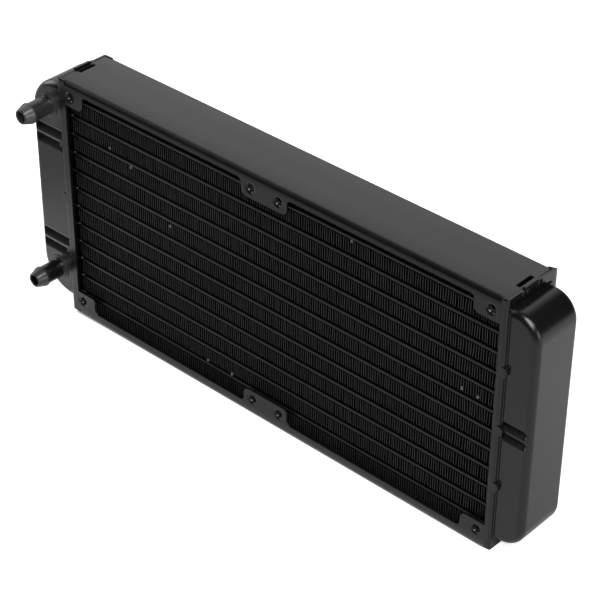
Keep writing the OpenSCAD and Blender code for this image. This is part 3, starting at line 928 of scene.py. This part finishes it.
def port_painted_light():
    """Painted light: a paler patch in blotches on the tank round each brazed hose barb."""
    group, place, out = new_group("port_painted_light", Haze="Float")
    nodes = group.nodes
    painted_light = 0.0
    for port in port_places:
        away = distance_node(nodes, place, (port.x, TANK_FACE_Y, port.z))
        painted_light = math_node(nodes, "ADD", falloff(nodes, away, PORT_LIGHT_REACH, NECK_RADIUS), painted_light)
    blotches = falloff(nodes, noise_node(nodes, place, PATCH_SCALE, 2.0), *PORT_LIGHT_BLOTCHES)
    group.links.new(math_node(nodes, "MULTIPLY", painted_light, blotches), out["Haze"])
    return group


def eased_bends():
    """How far the side plates fall away before and after their tight bends."""
    group, place, out = new_group("eased_bends", Fall="Float")
    nodes = group.nodes
    parts = xyz_node(nodes, place)
    fall = 0.0
    for axis, middle, half, reach, drop in BENDS_AT:
        away = math_node(nodes, "ABSOLUTE", math_node(nodes, "SUBTRACT", parts[axis], middle))
        start = math_node(nodes, "SUBTRACT", away, half - reach)
        share = math_node(nodes, "MAXIMUM", math_node(nodes, "DIVIDE", start, reach), 0.0)
        square = math_node(nodes, "POWER", share, 2.0)
        fall = math_node(nodes, "MULTIPLY_ADD", square, -drop, fall)
    group.links.new(fall, out["Fall"])
    return group


GROOVES, PORT_LIGHT, BENDS = pressed_grooves(), port_painted_light(), eased_bends()
print("groups:", GROOVES.name, PORT_LIGHT.name, BENDS.name)

# %% [markdown]
# ## Paints and metals
# The plates, headers and tanks carry the same satin black, a shade different on each, because they
# face the spray differently. The fins get only a thin matt coat, painted darker deeper inside the
# core as painted shade, and their cut edges a little more. The baffles inside the tanks stay bare.

# %% Paints
PAINT_CLOUDS = (0.7, 1.3)
FIN_CLOUDS = (0.6, 1.4)
FIN_SLIT_TONE = 0.35
FIN_GLOSS = 0.05
PAINTED_SHADE_TONE = 0.001
GLOSS_CLOUDS = (0.3, 0.7)
GLOSS_DRIFT = 0.025
SHEET_TONES = (0.55, 0.75)
SHEET_ROUGHNESS = (0.32, 0.45)


def use_group(material, group):
    """A group's outputs, placed in a material."""
    node = material.node_tree.nodes.new("ShaderNodeGroup")
    node.node_tree = group
    return node.outputs


def new_material(name):
    """Empty material, its nodes and links, and the inputs of its shader."""
    material = bpy.data.materials.new(name)
    material.use_nodes = True
    tree = material.node_tree
    return material, tree.nodes, tree.links, tree.nodes["Principled BSDF"].inputs


def paint(name, tone, roughness, wear_and_highlight=0.03, dusty=0.12, gloss=0.5):
    """Satin paint of a grey tone, worn and painted with a highlight on its edges, and a little dusty.
    """
    material, nodes, links, shader = new_material(name)
    shader["Specular IOR Level"].default_value = gloss
    skin, edges = use_group(material, SKIN), use_group(material, EDGES)
    clouded = mixed(nodes, skin["Cloud"], *(tone * share for share in PAINT_CLOUDS))
    # Painted highlight: the marked edge faces take a paler tone, partly thin paint and partly the
    # light they catch.
    worn_and_lit = mixed(nodes, edges["Wear"], clouded, wear_and_highlight)
    links.new(mixed(nodes, skin["Dust"], worn_and_lit, dusty), shader["Base Color"])
    limits = (roughness - GLOSS_DRIFT, roughness + GLOSS_DRIFT)
    links.new(falloff(nodes, skin["Cloud"], *GLOSS_CLOUDS, *limits), shader["Roughness"])
    links.new(skin["Normal"], shader["Normal"])
    return material


def fin_paint(name, tone, roughness):
    """Thin matt coat on the fin walls, with their punched slits and painted shade inside the core and
    in its corners.
    """
    material, nodes, links, shader = new_material(name)
    shader["Roughness"].default_value = roughness
    shader["Specular IOR Level"].default_value = FIN_GLOSS
    skin, louvres = use_group(material, SKIN), use_group(material, LOUVRES)
    corners = use_group(material, CORNERS)
    clouded = mixed(nodes, skin["Cloud"], *(tone * share for share in FIN_CLOUDS))
    slitted = mixed(nodes, louvres["Slit"], clouded, tone * FIN_SLIT_TONE)
    # Painted shade: deeper inside the core and in the tube corners the walls turn nearly black.
    painted_shade = math_node(nodes, "MAXIMUM", louvres["Inside"], corners["Corner"])
    links.new(mixed(nodes, painted_shade, slitted, PAINTED_SHADE_TONE), shader["Base Color"])
    links.new(louvres["Normal"], shader["Normal"])
    return material


def bare_sheet(name):
    """Rolled aluminium sheet, dulled by the furnace."""
    material, nodes, links, shader = new_material(name)
    shader["Metallic"].default_value = 1.0
    skin = use_group(material, SKIN)
    links.new(mixed(nodes, skin["Cloud"], *SHEET_TONES), shader["Base Color"])
    rough = falloff(nodes, skin["Cloud"], *GLOSS_CLOUDS, *SHEET_ROUGHNESS)
    links.new(rough, shader["Roughness"])
    links.new(skin["Normal"], shader["Normal"])
    return material


finishes = {
    "header_plate": [paint("header_paint", 0.004, 0.25, wear_and_highlight=0.05)],
    "baffle": [bare_sheet("baffle_sheet")],
    "thread": [paint("thread_paint", 0.03, 0.42, gloss=0.2)],
    # Painted glint: the braze beads take a pale paint, unlike the black block around them.
    "bead": [paint("bead_paint_with_painted_glint", 0.15, 0.25)],
    # Painted glint: the bent tips take a much paler paint than the fins.
    "bent_tip": [paint("tip_paint_with_painted_glint", 0.1, 0.3)],
}
print("even finishes:", list(finishes))

# %% [markdown]
# ## Where the paint changes
# Some paints change over a piece. In the core's corners and in the grooves shade is painted: the
# paint loses its shine as well as its tone. A metallic mask over a nearly black colour does both,
# because a metal shines only in its own colour. The grooves are rougher too. The cones of the barbs,
# but not their tips, carry a painted highlight in a paler tone. The upper barb has a paler paint of
# its own, painted light for the light it catches.

# %% Paints that change over a piece
GROOVE_SHADE_TONE = 0.022
GROOVE_ROUGHER = 0.4
LIP_HIGHLIGHT_TONE = 0.1
PORT_LIGHT_TONE = 0.045
TIP_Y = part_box("inlet_barb")[0].y
TIP_ENDS = (TIP_Y + 0.15 * MM, TIP_Y + 0.5 * MM)
NOSE_ENDS = (TIP_Y + 5 * MM, TIP_Y + 4 * MM)
BORE_EDGE = (2.7 * MM, 3.0 * MM)
BARB_AXIS = sum(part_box("inlet_barb"), Vector()) / 2


def parts_of(material):
    """Nodes, links and shader inputs of a finished paint, and the socket that colours it."""
    tree = material.node_tree
    shader = tree.nodes["Principled BSDF"].inputs
    return tree.nodes, tree.links, shader, shader["Base Color"].links[0].from_socket


def shaded_in_corners(material):
    """Painted shade: takes tone and shine away in the corners between tubes and fins."""
    nodes, links, shader, colour = parts_of(material)
    corner = use_group(material, CORNERS)["Foot"]
    # Painted shade in the corners: metal over near black takes the shine away.
    links.new(corner, shader["Metallic"])
    links.new(mixed(nodes, corner, colour, PAINTED_SHADE_TONE), shader["Base Color"])
    return material


def painted_cone_highlight(material, tone):
    """Painted highlight: a paler tone on the cone of a barb, but not on its tip or in its bore."""
    nodes, links, shader, colour = parts_of(material)
    place = xyz_node(nodes, nodes.new("ShaderNodeTexCoord").outputs["Object"])
    behind_tip = falloff(nodes, place["Y"], *TIP_ENDS)
    nose = falloff(nodes, place["Y"], *NOSE_ENDS)
    above = math_node(nodes, "ABSOLUTE", math_node(nodes, "SUBTRACT", place["Z"], MIDDLE_Z))
    from_axis = math_node(nodes, "SUBTRACT", above, BARB_AXIS.z - MIDDLE_Z)
    beside = math_node(nodes, "SUBTRACT", place["X"], BARB_AXIS.x)
    upright = math_node(nodes, "MULTIPLY", from_axis, from_axis)
    radius = math_node(nodes, "SQRT", math_node(nodes, "MULTIPLY_ADD", beside, beside, upright))
    outside = falloff(nodes, radius, *BORE_EDGE)
    cone = math_node(nodes, "MULTIPLY", math_node(nodes, "MULTIPLY", nose, behind_tip), outside)
    # Painted highlight: the cone, outside the bore and behind the tip, takes a paler tone.
    links.new(mixed(nodes, cone, colour, tone), shader["Base Color"])
    return material


def grooved(material):
    """Tank paint with painted light round the ports, painted shade in the grooves and a painted
    highlight on their lips.
    """
    nodes, links, shader, colour = parts_of(material)
    grooves = use_group(material, GROOVES)
    links.new(grooves["Groove"], shader["Metallic"])
    satin = shader["Roughness"].links[0].from_socket
    dull = math_node(nodes, "MULTIPLY_ADD", grooves["Groove"], GROOVE_ROUGHER, satin)
    links.new(dull, shader["Roughness"])
    # Painted light: the tank turns paler round each port.
    lit_round_ports = mixed(nodes, use_group(material, PORT_LIGHT)["Haze"], colour, PORT_LIGHT_TONE)
    wear_and_highlight = mixed(nodes, grooves["Lip"], lit_round_ports, LIP_HIGHLIGHT_TONE)
    # Painted shade: the grooves take a near-black metallic tone that also takes their shine away.
    links.new(mixed(nodes, grooves["Groove"], wear_and_highlight, GROOVE_SHADE_TONE), shader["Base Color"])
    return material


def eased(material):
    """Lets a plate's paint follow the slow start of its bends."""
    nodes, links, shader = parts_of(material)[:3]
    skin = shader["Normal"].links[0].from_socket
    bump = nodes.new("ShaderNodeBump")
    bump.inputs["Distance"].default_value = 1.0
    links.new(use_group(material, BENDS)["Fall"], bump.inputs["Height"])
    links.new(skin, bump.inputs["Normal"])
    links.new(bump.outputs["Normal"], shader["Normal"])
    return material


fin_edge = paint("fin_edge_paint", 0.068, 0.4, gloss=0.1)
finishes["side_plate"] = [eased(paint("plate_paint", 0.004, 0.25, wear_and_highlight=0.15))]
finishes["tank"] = [grooved(paint("tank_paint", 0.005, 0.25, wear_and_highlight=0.12))]
finishes["barb"] = [painted_cone_highlight(paint("barb_paint", 0.004, 0.24), 0.03)]
finishes["fillet"] = finishes["barb"]
finishes["tube"] = [shaded_in_corners(paint("tube_paint", 0.005, 0.35))]
finishes["fin"] = [fin_paint("fin_wall_paint", 0.003, 0.6), shaded_in_corners(fin_edge)]
# Painted light: the upper barb gets a paler copy of the barb paint, for the more light it catches.
upper_barb_lit = [painted_cone_highlight(paint("upper_barb_painted_light", 0.021, 0.24), 0.065)]
print("all finishes:", list(finishes))

# %% [markdown]
# ## Dressing the pieces
# Each kind of piece gets its paint, and each solid the paint of its slot. A fin has two: one for its
# walls and one for the cut edge of the foil, which the sheet modifier puts on the rim.

# %% Dressing
def dress(item, materials):
    """Gives a piece or a solid its materials, in the order of its slots."""
    item.data.materials.clear()
    for material in materials:
        item.data.materials.append(material)


for kind, group in pieces.items():
    for piece in group:
        dress(piece, finishes[kind])
dress(pieces["barb"][0], upper_barb_lit)
for subpart in frame["record"]["subparts"]:
    dress(frame["nodes"][subpart["node"]], finishes[subpart["material_slot"]])
print("materials:", len({m.name for group in finishes.values() for m in group}))
